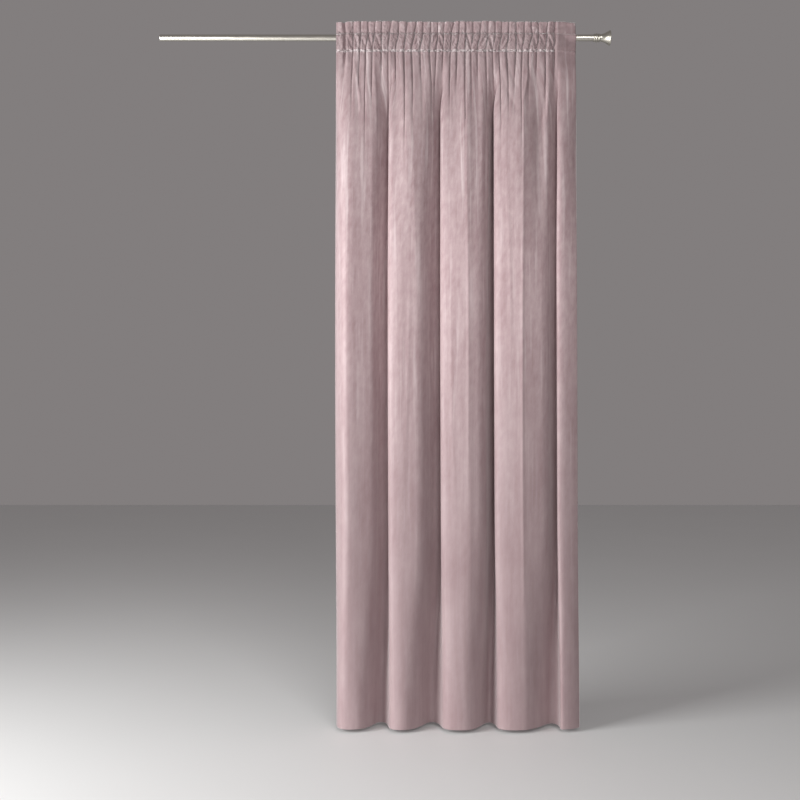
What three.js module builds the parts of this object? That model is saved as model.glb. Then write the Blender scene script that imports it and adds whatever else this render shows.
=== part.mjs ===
// A velvet curtain, gathered at the top and hung on a metal rod with a trumpet finial.
// Millimetres, +Z up. The origin is on the rod's axis at the curtain's middle.
// The curtain's face looks towards -Y, and the finial is at the +X end.

import * as THREE from "three";

// Cloth: the flat cut width, the sheet's thickness and the hanging outline
const FLAT_WIDTH = 1400;
const CLOTH = 2;
const LEFT_EDGE = -458;
const RIGHT_EDGE_AT_ROD = 456.5;
const RIGHT_EDGE_AT_HEM = 467;
const HEM_HEIGHT = -2639;
const LOWER_ROW_HEIGHT = -51;

// Gathers: how many, the plain cloth beside them and how far their widths vary
const GATHERS = 29;
const PLAIN_LEFT = 36;
const PLAIN_RIGHT = 84;
const GATHER_UNEVENNESS = [
  { share: 0.17, turn: 2.3, start: 0.7 },
  { share: 0.1, turn: 4.9, start: 0 },
];
const GATHER_LEAN = 1.31;
const CREST_FULLNESS = 0.3;
const TOP_EDGE = { waveHeight: 2.5, waveLength: 380, crestRise: 0.2 };

// How far below the lower row the gathers fade out and the hanging folds reach full depth
const GATHERS_FADE = 240;
const FADE_SHARPNESS = 1.6;
const UPPER_FOLDS_END = 700;
const UPPER_FOLD_ROUNDING = 22;
const MAIN_FOLD_ROUNDING = 34;

// Rod and finial
const ROD_RADIUS = 12.5;
const ROD_SIDES = 32;
const ROD_LEFT_END = -1132;
const ROD_RIGHT_END = 540;
const ROD_BEVEL = 1;
const SEAT_GAP = 0.3;
const FINIAL_MOUTH = 524.5;
const FINIAL_SIDES = 40;

// Sampling of the gathers' crests across the cloth, the steps of the fold integrals, and how far
// to each side the cloth's direction is read
const CREST_PHASES = [0, 0.32, 0.5, 0.68];
const PLAIN_LEFT_STEPS = 3;
const PLAIN_RIGHT_STEPS = 5;
const FOLD_STEPS = 700;
const NORMAL_REACH = 7;
const SCALE_SEARCH = { range: [0.2, 2], halvings: 40 };
const DEGREE = Math.PI / 180;
const TURN = 2 * Math.PI;

// The folds just below the heading, from left to right. Each row is a stretch of flat cloth: how
// long it runs and how it leans in plan, in degrees. A minus sign comes forward, a plus goes back.
const UPPER_FOLDS = [
  { run: 43, lean: -38 }, { run: 37, lean: 50 }, { run: 37, lean: -45 }, { run: 43, lean: 58 },
  { run: 56, lean: -38 }, { run: 67, lean: 58 }, { run: 36, lean: -74 }, { run: 55, lean: 42 },
  { run: 42, lean: -62 }, { run: 75, lean: 52 }, { run: 62, lean: -50 }, { run: 49, lean: 66 },
  { run: 42, lean: -76 }, { run: 56, lean: 38 }, { run: 56, lean: -55 }, { run: 75, lean: 60 },
  { run: 60, lean: -58 }, { run: 31, lean: 72 }, { run: 80, lean: -55 }, { run: 66, lean: 48 },
  { run: 34, lean: -42 }, { run: 31, lean: 66 }, { run: 43, lean: -50 }, { run: 43, lean: 70 },
  { run: 62, lean: -60 }, { run: 34, lean: 66 }, { run: 29, lean: -45 }, { run: 61, lean: 12 },
];

// The main folds of the drop, in the same columns
const MAIN_FOLDS = [
  { part: "left edge coming forward", run: 75, lean: -60 },
  { part: "first fold's front", run: 28, lean: 0 },
  { part: "first fold going back", run: 125, lean: 47 },
  { part: "first valley", run: 35, lean: 5 },
  { part: "second fold's steep side", run: 92, lean: -80 },
  { part: "second fold's front", run: 34, lean: 12 },
  { part: "ridge on the second fold", run: 14, lean: -25 },
  { part: "second fold going back", run: 112, lean: 60 },
  { part: "second valley", run: 62, lean: 0 },
  { part: "third fold's steep side", run: 95, lean: -78 },
  { part: "third fold's front", run: 68, lean: 10 },
  { part: "ridge on the third fold", run: 14, lean: -28 },
  { part: "third fold going back", run: 116, lean: 53 },
  { part: "third valley", run: 42, lean: 0 },
  { part: "fourth fold's steep side", run: 92, lean: -78 },
  { part: "fourth fold's front", run: 46, lean: 12 },
  { part: "ridge on the fourth fold", run: 16, lean: -30 },
  { part: "fourth fold going back", run: 100, lean: 60 },
  { part: "fourth valley", run: 52, lean: 3 },
  { part: "fifth fold coming forward", run: 95, lean: -50 },
  { part: "fifth fold's front", run: 74, lean: 3 },
  { part: "right edge going back", run: 22, lean: 25 },
];

// The heading in section: each point's height, how far its layer stands from the middle plane
// before the gathers bend it, which side of the cloth it is on (in thicknesses along the
// cloth's normal) and the share of the gathers' depth there
const HEADING_POINTS = {
  frillTopFront: { height: 59.5, apart: 0, side: -1, depth: 1.05 },
  frillTopBack: { height: 59.5, apart: 0, side: 1, depth: 1.05 },
  frillMidFront: { height: 40, apart: 0, side: -1, depth: 1 },
  frillMidBack: { height: 40, apart: 0, side: 1, depth: 1 },
  frillFootFront: { height: 22, apart: 0, side: -1, depth: 0.8 },
  frillFootBack: { height: 22, apart: 0, side: 1, depth: 0.8 },
  upperRowFront: { height: 15, apart: 0, side: -1, depth: 0.55 },
  upperRowBack: { height: 15, apart: 0, side: 1, depth: 0.55 },
  channelTop: { height: ROD_RADIUS + SEAT_GAP, apart: 0, side: 0, depth: 0.55 },
  frontShoulderOut: { height: 14.2, apart: -12, side: -0.6, depth: 0.6 },
  frontShoulderIn: { height: 12.8, apart: -11, side: 0.4, depth: 0.6 },
  frontCheekOut: { height: 6, apart: -21.8, side: -0.5, depth: 0.95 },
  frontCheekIn: { height: 5.5, apart: -21.8, side: 0.5, depth: 0.95 },
  frontWallOut: { height: -13, apart: -20.5, side: -0.5, depth: 1 },
  frontWallIn: { height: -13, apart: -20.5, side: 0.5, depth: 1 },
  frontFootOut: { height: -38, apart: -7.5, side: -0.6, depth: 1 },
  frontFootIn: { height: -38, apart: -7, side: 0.4, depth: 1 },
  backShoulderOut: { height: 14.2, apart: 14, side: 0.6, depth: 0.6 },
  backShoulderIn: { height: 12.8, apart: 13, side: -0.4, depth: 0.6 },
  backCheekOut: { height: 6, apart: 24.5, side: 0.5, depth: 0.95 },
  backCheekIn: { height: 5.5, apart: 24.5, side: -0.5, depth: 0.95 },
  backWallOut: { height: -13, apart: 23, side: 0.5, depth: 1 },
  backWallIn: { height: -13, apart: 23, side: -0.5, depth: 1 },
  backFootOut: { height: -38, apart: 8, side: 0.6, depth: 1 },
  backFootIn: { height: -38, apart: 7.5, side: -0.4, depth: 1 },
  channelFoot: { height: -47, apart: 0, side: 0, depth: 0.95 },
  lowerRowFront: { height: LOWER_ROW_HEIGHT, apart: 0, side: -1, depth: 0.9 },
  lowerRowBack: { height: LOWER_ROW_HEIGHT, apart: 0, side: 1, depth: 0.9 },
  turnedEndFront: { height: -61, apart: 0, side: -1, depth: 1 },
  turnedEndMiddle: { height: -61, apart: 0, side: 0, depth: 1 },
  turnedEndBack: { height: -61, apart: 0, side: 1, depth: 1 },
};

// Heights of the drop's rows of points, from the heading down to the hem
const DROP_HEIGHTS = [-95, -150, -210, -290, -430, -700, -1500, HEM_HEIGHT];

// The section's cells, each a chain of points round a piece of cloth, seen from the +X end
const HEADING_CELLS = [
  ["frillTopFront", "frillMidFront", "frillMidBack", "frillTopBack"],
  ["frillMidFront", "frillFootFront", "frillFootBack", "frillMidBack"],
  ["frillFootFront", "upperRowFront", "upperRowBack", "frillFootBack"],
  ["upperRowFront", "channelTop", "upperRowBack"],
  ["upperRowFront", "frontShoulderOut", "frontShoulderIn", "channelTop"],
  ["frontShoulderOut", "frontCheekOut", "frontCheekIn", "frontShoulderIn"],
  ["frontCheekOut", "frontWallOut", "frontWallIn", "frontCheekIn"],
  ["frontWallOut", "frontFootOut", "frontFootIn", "frontWallIn"],
  ["frontFootOut", "lowerRowFront", "channelFoot", "frontFootIn"],
  ["channelTop", "backShoulderIn", "backShoulderOut", "upperRowBack"],
  ["backShoulderIn", "backCheekIn", "backCheekOut", "backShoulderOut"],
  ["backCheekIn", "backWallIn", "backWallOut", "backCheekOut"],
  ["backWallIn", "backFootIn", "backFootOut", "backWallOut"],
  ["backFootIn", "channelFoot", "lowerRowBack", "backFootOut"],
  ["lowerRowFront", "turnedEndFront", "turnedEndMiddle", "channelFoot"],
  ["channelFoot", "turnedEndMiddle", "turnedEndBack", "lowerRowBack"],
];

const clamp01 = (value) => Math.min(1, Math.max(0, value));
const smooth = (value) => {
  const t = clamp01(value);
  return t * t * (3 - 2 * t);
};
const mix = (from, to, share) => from + (to - from) * share;

// Widths of the gathers in flat cloth: uneven, and filling the cloth between the plain ends
function gatherStarts() {
  const weights = Array.from({ length: GATHERS }, (_, k) => GATHER_UNEVENNESS.reduce(
    (sum, { share, turn, start }) => sum + share * Math.sin(turn * k + start), 1));
  const total = weights.reduce((sum, weight) => sum + weight, 0);
  const gathered = FLAT_WIDTH - PLAIN_LEFT - PLAIN_RIGHT;
  const starts = [PLAIN_LEFT];
  for (const weight of weights) starts.push(starts.at(-1) + gathered * weight / total);
  return starts;
}
const STARTS = gatherStarts();
const MEAN_GATHER = (FLAT_WIDTH - PLAIN_LEFT - PLAIN_RIGHT) / GATHERS;

// Lean of the gathers at a place across the cloth, in radians: full crests and tight valleys,
// with the narrow gathers steeper, so that all are about as deep
function gatherLean(across) {
  if (across <= STARTS[0] || across >= STARTS[GATHERS]) return 0;
  let k = 0;
  while (across >= STARTS[k + 1]) k += 1;
  const width = STARTS[k + 1] - STARTS[k];
  const phase = TURN * (across - STARTS[k]) / width;
  const lean = GATHER_LEAN * Math.sqrt(MEAN_GATHER / width);
  return -lean * Math.sin(phase + CREST_FULLNESS * Math.sin(phase));
}

// A fold table as a function of the place across the cloth: leans in radians, rounded where
// one stretch meets the next
function foldLean(table, rounding) {
  const runs = table.reduce((sum, row) => sum + row.run, 0);
  const rows = table.map((row) => ({ run: row.run * FLAT_WIDTH / runs, lean: row.lean * DEGREE }));
  const turned = (across) => {
    let sum = Math.min(across, 0) * rows[0].lean;
    let left = Math.max(across, 0);
    for (const row of rows) {
      sum += Math.min(left, row.run) * row.lean;
      left = Math.max(left - row.run, 0);
    }
    return sum + left * rows.at(-1).lean;
  };
  const half = rounding / 2;
  return (across) => (turned(across + half) - turned(across - half)) / rounding;
}
const upperLean = foldLean(UPPER_FOLDS, UPPER_FOLD_ROUNDING);
const mainLean = foldLean(MAIN_FOLDS, MAIN_FOLD_ROUNDING);

// Lean of the cloth at a height: gathers that fade into small folds, and those into the main ones
function leanAt(height) {
  const below = LOWER_ROW_HEIGHT - height;
  const gathered = below <= 0 ? 1 : Math.exp(-((below / GATHERS_FADE) ** FADE_SHARPNESS));
  const main = smooth(below / UPPER_FOLDS_END) * Math.sqrt(1 - gathered ** 2);
  const upper = Math.sqrt(Math.max(0, 1 - gathered ** 2 - main ** 2));
  return (across) => gathered * gatherLean(across) + upper * upperLean(across) + main * mainLean(across);
}

// The cloth's path in plan at a height. All leans are scaled together until the flat width,
// laid along the path, spans the curtain's outline there.
function planPath(height) {
  const lean = leanAt(height);
  const step = FLAT_WIDTH / FOLD_STEPS;
  const leans = Array.from({ length: FOLD_STEPS }, (_, i) => lean((i + 0.5) * step));
  const rightEdge = mix(RIGHT_EDGE_AT_ROD, RIGHT_EDGE_AT_HEM, clamp01(height / HEM_HEIGHT));
  const span = (scale) => leans.reduce((sum, angle) => sum + Math.cos(angle * scale) * step, 0);
  let [low, high] = SCALE_SEARCH.range;
  for (let i = 0; i < SCALE_SEARCH.halvings; i += 1) {
    const middle = (low + high) / 2;
    if (span(middle) > rightEdge - LEFT_EDGE) low = middle;
    else high = middle;
  }
  const path = [{ x: LEFT_EDGE, y: 0 }];
  for (const angle of leans) {
    const { x, y } = path.at(-1);
    path.push({ x: x + Math.cos(angle * low) * step, y: y + Math.sin(angle * low) * step });
  }
  const meanDepth = path.reduce((sum, point) => sum + point.y, 0) / path.length;
  for (const point of path) point.y -= meanDepth;
  const pointAt = (across) => {
    const place = clamp01(across / FLAT_WIDTH) * FOLD_STEPS;
    const i = Math.min(Math.floor(place), FOLD_STEPS - 1);
    return {
      x: mix(path[i].x, path[i + 1].x, place - i),
      y: mix(path[i].y, path[i + 1].y, place - i),
    };
  };
  return (across) => {
    const [before, after] = [pointAt(across - NORMAL_REACH), pointAt(across + NORMAL_REACH)];
    return { ...pointAt(across), run: { x: after.x - before.x, y: after.y - before.y } };
  };
}

const paths = new Map();
function pathAt(height) {
  const key = Math.min(height, LOWER_ROW_HEIGHT);
  if (!paths.has(key)) paths.set(key, planPath(key));
  return paths.get(key);
}

// A point of the section at a place across the cloth. In the heading the gathers' depth is
// shared out by height; below it the path alone shapes the cloth.
function clothPoint(point, across) {
  const at = pathAt(point.height)(across);
  const run = new THREE.Vector2(at.run.x, at.run.y * point.depth).normalize();
  const offset = point.side * CLOTH;
  const wave = TURN * across / TOP_EDGE.waveLength;
  const scallop = point.height > HEADING_POINTS.frillMidFront.height
    ? TOP_EDGE.waveHeight * Math.sin(wave + 2 * Math.sin(wave / 3)) - TOP_EDGE.crestRise * at.y : 0;
  return new THREE.Vector3(
    at.x - run.y * offset,
    at.y * point.depth + point.apart + run.x * offset,
    point.height + scallop,
  );
}

// Places across the cloth where the sections stand
function sectionPlaces() {
  const places = [];
  for (let i = 0; i < PLAIN_LEFT_STEPS; i += 1) places.push(PLAIN_LEFT * i / PLAIN_LEFT_STEPS);
  for (let k = 0; k < GATHERS; k += 1) {
    for (const phase of CREST_PHASES) places.push(mix(STARTS[k], STARTS[k + 1], phase));
  }
  for (let i = 0; i <= PLAIN_RIGHT_STEPS; i += 1) {
    places.push(FLAT_WIDTH - PLAIN_RIGHT * (1 - i / PLAIN_RIGHT_STEPS));
  }
  return places;
}

// The curtain's section: named points, and cells that continue from the heading to the hem
function curtainSection() {
  const points = { ...HEADING_POINTS };
  const cells = [...HEADING_CELLS];
  let [front, back] = ["turnedEndFront", "turnedEndMiddle"];
  DROP_HEIGHTS.forEach((height, i) => {
    const [nextFront, nextBack] = [`dropFront${i}`, `dropBack${i}`];
    points[nextFront] = { height, apart: 0, side: -1, depth: 1 };
    points[nextBack] = { height, apart: 0, side: 0, depth: 1 };
    cells.push([front, nextFront, nextBack, back]);
    [front, back] = [nextFront, nextBack];
  });
  return { points, cells };
}

// Edges of the section that belong to one cell alone: they sweep out the cloth's surface
function outerEdges(cells) {
  const edges = new Map();
  for (const cell of cells) {
    cell.forEach((from, i) => {
      const to = cell[(i + 1) % cell.length];
      if (!edges.delete(`${to} ${from}`)) edges.set(`${from} ${to}`, [from, to]);
    });
  }
  return [...edges.values()];
}

// The whole curtain as one closed surface, swept from the left edge to the right one. Every
// four-cornered face splits from its upper left to its lower right corner, on the cloth's front
// and back alike, so that the two sides of a twisted stretch stay a thickness apart.
function curtainGeometry() {
  const { points, cells } = curtainSection();
  const names = Object.keys(points);
  const places = sectionPlaces();
  const positions = [];
  for (const across of places) {
    for (const name of names) positions.push(...clothPoint(points[name], across).toArray());
  }
  const index = new Map(names.map((name, i) => [name, i]));
  const vertex = (column, name) => column * names.length + index.get(name);
  const faces = [];
  for (let column = 0; column < places.length - 1; column += 1) {
    for (const [from, to] of outerEdges(cells)) {
      const [a, b] = [vertex(column, from), vertex(column, to)];
      const [c, d] = [vertex(column + 1, to), vertex(column + 1, from)];
      if (points[from].height > points[to].height) faces.push(a, b, c, a, c, d);
      else faces.push(a, b, d, b, c, d);
    }
  }
  const last = places.length - 1;
  for (const cell of cells) {
    for (let i = 1; i < cell.length - 1; i += 1) {
      faces.push(vertex(0, cell[0]), vertex(0, cell[i + 1]), vertex(0, cell[i]));
      faces.push(vertex(last, cell[0]), vertex(last, cell[i]), vertex(last, cell[i + 1]));
    }
  }
  const geometry = new THREE.BufferGeometry();
  geometry.setAttribute("position", new THREE.Float32BufferAttribute(positions, 3));
  geometry.setIndex(faces);
  return geometry;
}

// A turned piece: its profile of distances along the rod and radii, spun about the X axis
function turnedGeometry(profile, sides) {
  const outline = profile.map(([along, radius]) => new THREE.Vector2(radius, along));
  return new THREE.LatheGeometry(outline, sides).rotateZ(-Math.PI / 2);
}

// The rod, with its edges just broken at both ends
function rodGeometry() {
  return turnedGeometry([
    [ROD_LEFT_END, 0],
    [ROD_LEFT_END, ROD_RADIUS - ROD_BEVEL],
    [ROD_LEFT_END + ROD_BEVEL, ROD_RADIUS],
    [ROD_RIGHT_END - ROD_BEVEL, ROD_RADIUS],
    [ROD_RIGHT_END, ROD_RADIUS - ROD_BEVEL],
    [ROD_RIGHT_END, 0],
  ], ROD_SIDES);
}

// The finial in section: a socket over the rod's end, a collar with two rings, and the trumpet
// that flares to a slightly domed face
const FINIAL_OUTER = [
  { along: 0, radius: 14.6 }, { along: 1.2, radius: 15.4 }, { along: 4.5, radius: 15.4 },
  { along: 5.6, radius: 14.2 }, { along: 7.4, radius: 14.2 }, { along: 8.6, radius: 16 },
  { along: 11, radius: 17 }, { along: 13.6, radius: 16 }, { along: 14.8, radius: 14 },
  { along: 16.6, radius: 13.6 }, { along: 18, radius: 15.2 }, { along: 20, radius: 16 },
  { along: 22, radius: 15.2 }, { along: 23.4, radius: 13.4 }, { along: 25.4, radius: 13.2 },
  { along: 34, radius: 14.8 }, { along: 44, radius: 18.6 }, { along: 53, radius: 23.6 },
  { along: 60, radius: 27.6 }, { along: 61.6, radius: 28 }, { along: 63, radius: 27.2 },
  { along: 64, radius: 24 }, { along: 65.4, radius: 12 }, { along: 65.8, radius: 0 },
];

function finialGeometry() {
  const boreRadius = ROD_RADIUS + SEAT_GAP;
  const socket = [[ROD_RIGHT_END + SEAT_GAP, 0], [ROD_RIGHT_END + SEAT_GAP, boreRadius],
    [FINIAL_MOUTH, boreRadius]];
  const outer = FINIAL_OUTER.map((row) => [FINIAL_MOUTH + row.along, row.radius]);
  return turnedGeometry([...socket, ...outer], FINIAL_SIDES);
}

function piece(name, geometry, color, roughness, metalness) {
  const mesh = new THREE.Mesh(geometry, new THREE.MeshStandardMaterial({ color, roughness, metalness }));
  mesh.name = name;
  return mesh;
}

const curtain = new THREE.Group();
curtain.add(piece("panel", curtainGeometry(), 0xb39a9d, 0.95, 0));
curtain.add(piece("rod", rodGeometry(), 0xb9b6aa, 0.35, 1));
curtain.add(piece("finial", finialGeometry(), 0xb3b09f, 0.35, 1));

export default curtain;
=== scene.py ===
"""Looks of a gathered velvet curtain on a satin nickel rod with a trumpet finial. Metres, +Z up."""

import logging
import math
from dataclasses import dataclass, field
from enum import Enum
from typing import Any, Sequence

import bmesh
import bpy
import numpy as np
from mathutils import Matrix, Vector

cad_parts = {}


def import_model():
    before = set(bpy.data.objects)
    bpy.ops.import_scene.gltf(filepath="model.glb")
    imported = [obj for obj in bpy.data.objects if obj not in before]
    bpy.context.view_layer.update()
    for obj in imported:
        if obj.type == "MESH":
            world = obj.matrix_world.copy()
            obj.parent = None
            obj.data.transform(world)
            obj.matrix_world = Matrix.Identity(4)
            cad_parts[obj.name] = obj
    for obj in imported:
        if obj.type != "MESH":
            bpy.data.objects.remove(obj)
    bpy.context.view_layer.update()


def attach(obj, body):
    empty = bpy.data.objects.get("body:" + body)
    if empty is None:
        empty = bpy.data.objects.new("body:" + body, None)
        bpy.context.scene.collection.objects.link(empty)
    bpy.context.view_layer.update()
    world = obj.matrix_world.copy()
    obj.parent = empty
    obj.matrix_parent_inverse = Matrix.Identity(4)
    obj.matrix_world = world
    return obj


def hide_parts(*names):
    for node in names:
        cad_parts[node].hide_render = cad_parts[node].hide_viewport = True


log = logging.getLogger("curtain")

MM = 0.001
DEGREE = math.pi / 180
TURN = 2 * math.pi

# The curtain's cut and outline
FLAT_WIDTH = 1.400
LEFT_EDGE = -0.458
RIGHT_EDGE_AT_ROD = 0.4565
RIGHT_EDGE_AT_HEM = 0.467
FLOOR_HEIGHT = -2.643
HEM_HEIGHT = -2.628
UPPER_ROW = 0.0145
LOWER_ROW = -0.051
TURNED_END = -0.061
TOP_EDGE = 0.0605
ROD_RADIUS = 0.0125
SEAT_GAP = 0.0003

# The view: its size in pixels, the real size of one, the rod's row, the curtain's middle, the distance
FRAME_PIXELS = 800
PIXEL = 0.00382
ROD_AXIS_ROW = 37.9
CURTAIN_MIDDLE_COLUMN = 456.3
VIEW_DISTANCE = 4.2

# A share that spreads numbers evenly when it is added over and over
GOLDEN_SHARE = 0.618034


def smooth(value: np.ndarray | float) -> np.ndarray | float:
    """Ease a share from 0 to 1, held at both ends."""
    t = np.clip(value, 0.0, 1.0)
    return t * t * (3 - 2 * t)


def bell(value: np.ndarray | float) -> np.ndarray | float:
    """A smooth bump of height 1 round 0, about 1 wide to each side."""
    return np.exp(-(value ** 2))


def uneven(number: np.ndarray | int, stride: int = 1) -> np.ndarray | float:
    """A share from 0 to 1 that differs from each number to the next."""
    return number * GOLDEN_SHARE * stride % 1.0


def ripple(place: np.ndarray | float, *waves: tuple[float, float, float]) -> np.ndarray | float:
    """Add up sine waves.

    Args:
        place: Where along the waves, in metres.
        waves: For each wave its height, its length in metres and its start in turns.

    Returns:
        The sum at each place.
    """
    return sum(high * np.sin(TURN * (place / long + start)) for high, long, start in waves)


@dataclass(frozen=True)
class FoldPoint:
    """A point of the hanging cloth in plan at three heights.

    At each height it is (place from the curtain's middle, depth from the middle plane, minus towards
    the face), in millimetres. The cloth passes through the middles between its points.
    """

    upper: tuple[float, float]
    main: tuple[float, float]
    hem: tuple[float, float]


def cut_corners(points: np.ndarray, rounds: int = 4) -> np.ndarray:
    """Round a line by cutting each corner at a quarter of its sides.

    Args:
        points: The line's points, one in each row.
        rounds: How often the corners are cut.

    Returns:
        The rounded line's points, with the same ends.
    """
    for _ in range(rounds):
        first, second = points[:-1], points[1:]
        cut = np.stack([first * 0.75 + second * 0.25, first * 0.25 + second * 0.75], axis=1)
        points = np.concatenate([points[:1], cut.reshape(-1, 2), points[-1:]])
    return points


def along_line(points: np.ndarray) -> np.ndarray:
    """How far along a line each of its points lies."""
    return np.concatenate([[0.0], np.cumsum(np.hypot(*np.diff(points, axis=0).T))])


@dataclass(frozen=True)
class Valley:
    """A valley between two gathers: its place in millimetres in the frill, at the upper row and
    under the lower row."""

    frill: float
    row: float
    drop: float


@dataclass(frozen=True)
class Crease:
    """A soft ridge or trough laid on the cloth from one place to another.

    Places are (millimetres from the curtain's middle, height in millimetres); bow bends the line
    sideways at its middle, half_width is its reach to each side, and lift brings the cloth forward,
    or back with a minus. All are in millimetres.
    """

    start: tuple[float, float]
    end: tuple[float, float]
    bow: float
    half_width: float
    lift: float

    def push(self, place: np.ndarray, height: float) -> np.ndarray:
        """How far in metres the crease brings the cloth forward at places across, at one height."""
        share = (self.start[1] - height / MM) / (self.start[1] - self.end[1])
        if not 0.0 < share < 1.0:
            return np.zeros_like(place)
        line = self.start[0] + (self.end[0] - self.start[0]) * share + self.bow * math.sin(math.pi * share)
        fade = math.sin(math.pi * share) ** 0.5
        return self.lift * MM * fade * bell((place / MM - line) / self.half_width)


VALLEYS = tuple(Valley(*row) for row in (
    (-425, -421, -421), (-393, -393, -393), (-366, -364, -369), (-337, -335, -345), (-309, -312, -321),
    (-284, -285, -285), (-248, -255, -260), (-219, -220, -232), (-188, -192, -200), (-152, -159, -171),
    (-127, -127, -139), (-97, -97, -102), (-70, -70, -76), (-45, -49, -50), (-9, -18, -22),
    (12, 10, 2), (37, 37, 34), (64, 64, 56), (96, 91, 80), (123, 121, 113), (150, 149, 139),
    (175, 173, 163), (201, 199, 191), (228, 228, 228), (261, 259, 252), (287, 289, 277),
    (314, 314, 307), (350, 345, 341), (373, 371, 371),
))
# Pairs of valleys that a slanted one joins: the first at the upper row, the second at the lower one
SLANTED_VALLEYS = (
    (0, 1), (1, 2), (2, 3), (3, 4), (4, 5), (10, 9), (12, 11), (12, 13), (15, 14), (16, 17), (19, 18),
    (19, 20), (22, 21), (23, 24), (25, 26), (26, 27), (27, 28),
)

# Ridges and drag lines that stand on the folds
CREASES = tuple(Crease(*row) for row in (
    ((-395, -69), (-364, -290), 4, 4.5, 3.4), ((-314, -60), (-305, -520), 3, 5, 2.2),
    ((-198, -69), (-158, -900), 12, 5, 1.2), ((28, -140), (42, -1780), 7, 4.5, 1.7),
    ((115, -140), (119, -820), 2, 4, 2.4), ((272, -105), (251, -245), 4, 4.5, 4.4),
    ((254, -180), (252, -2150), -6, 5, 2.7), ((165, -95), (236, -300), -9, 7, -2.6),
    ((196, -90), (243, -215), -6, 6, -2.0), ((346, -95), (292, -500), 9, 6, -2.6),
    ((361, -95), (309, -480), 9, 5, 2.0), ((-30, -75), (-12, -330), 4, 6, -1.8),
    ((-120, -75), (-128, -360), -4, 6, -1.6), ((-180, -900), (-200, -1650), 5, 7, 1.4),
    ((-20, -1000), (-8, -1750), -5, 8, 1.4), ((190, -520), (203, -1300), 5, 7, 1.6),
    ((452, 54), (374, 29), -12, 15, -3.2),
))

# The cloth's line in plan from the left edge to the right one: its five main folds, each with the
# cloth that runs on behind the next one
FOLDS = tuple(FoldPoint(row[:2], row[2:4], row[4:]) for row in (
    # first fold, along the left edge
    (-459, 24, -463, 30, -461, 16), (-454, 2, -456, 6, -458, -4), (-445, -14, -446, -16, -452, -20),
    (-430, -25, -434, -37, -442, -32), (-412, -31, -420, -50, -428, -39), (-394, -31, -402, -48, -411, -41),
    (-372, -27, -374, -38, -393, -40), (-352, -24, -348, -28, -375, -36), (-336, -21, -331, -21, -359, -28),
    (-318, -20, -319, -13, -344, -16), (-302, -10, -309, 3, -331, 1), (-282, 8, -299, 27, -318, 21),
    (-264, 24, -285, 45, -305, 38), (-248, 36, -261, 51, -291, 45), (-236, 38, -251, 53, -279, 41),
    (-232, 30, -246, 44, -270, 29), (-243, 10, -254, 14, -266, 12),
    # second fold
    (-256, -8, -260, -8, -262, -6), (-257, -20, -261, -24, -259, -22), (-248, -29, -254, -38, -252, -35),
    (-230, -31, -236, -46, -238, -44), (-212, -34, -212, -49, -221, -47), (-197, -40, -186, -46, -203, -46),
    (-178, -41, -168, -45, -186, -40), (-160, -39, -148, -42, -170, -31), (-140, -35, -130, -32, -155, -18),
    (-120, -30, -117, -10, -141, -2), (-98, -14, -101, 18, -128, 17), (-76, 8, -85, 41, -115, 35),
    (-56, 28, -63, 50, -100, 45), (-44, 38, -55, 54, -86, 44), (-40, 32, -52, 46, -75, 34),
    (-50, 12, -51, 18, -67, 15),
    # third fold
    (-59, -8, -60, -2, -61, -6), (-61, -21, -61, -17, -57, -22), (-52, -29, -53, -30, -48, -35),
    (-33, -32, -38, -39, -34, -44), (-8, -34, -12, -46, -14, -49), (16, -38, 22, -50, 8, -50),
    (32, -42, 36, -51, 27, -48), (48, -40, 48, -51, 44, -42), (64, -34, 62, -46, 59, -33),
    (84, -31, 82, -41, 73, -19), (100, -29, 98, -31, 86, -1), (113, -14, 112, -10, 98, 18),
    (126, 6, 124, 24, 110, 35), (141, 26, 139, 46, 122, 42), (153, 38, 149, 54, 133, 37),
    (159, 32, 152, 46, 141, 24), (151, 12, 153, 18, 146, 8),
    # fourth fold
    (142, -8, 145, -2, 148, -14), (142, -21, 144, -17, 153, -29), (151, -29, 152, -30, 163, -40),
    (170, -34, 168, -39, 179, -47), (192, -40, 188, -45, 197, -50), (214, -43, 218, -49, 216, -50),
    (232, -45, 236, -52, 236, -48), (250, -43, 250, -52, 254, -45), (268, -37, 264, -48, 272, -36),
    (286, -29, 284, -42, 290, -25), (304, -17, 306, -35, 307, -12), (322, -12, 328, -28, 323, 3),
    (340, -17, 346, -14, 338, 18), (355, -10, 360, 14, 351, 28), (371, 10, 372, 38, 363, 30),
    (388, 24, 388, 46, 373, 25), (396, 18, 395, 34, 381, 14), (390, 2, 388, 12, 385, 0),
    # fifth fold, along the right edge
    (382, -8, 383, -4, 386, -16), (384, -14, 385, -12, 386, -30), (393, -18, 394, -16, 388, -39),
    (407, -16, 408, -15, 399, -40), (424, -10, 426, -9, 421, -35), (443, 0, 445, -1, 443, -26),
    (457, 12, 462, 9, 459, -14),
))


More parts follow.
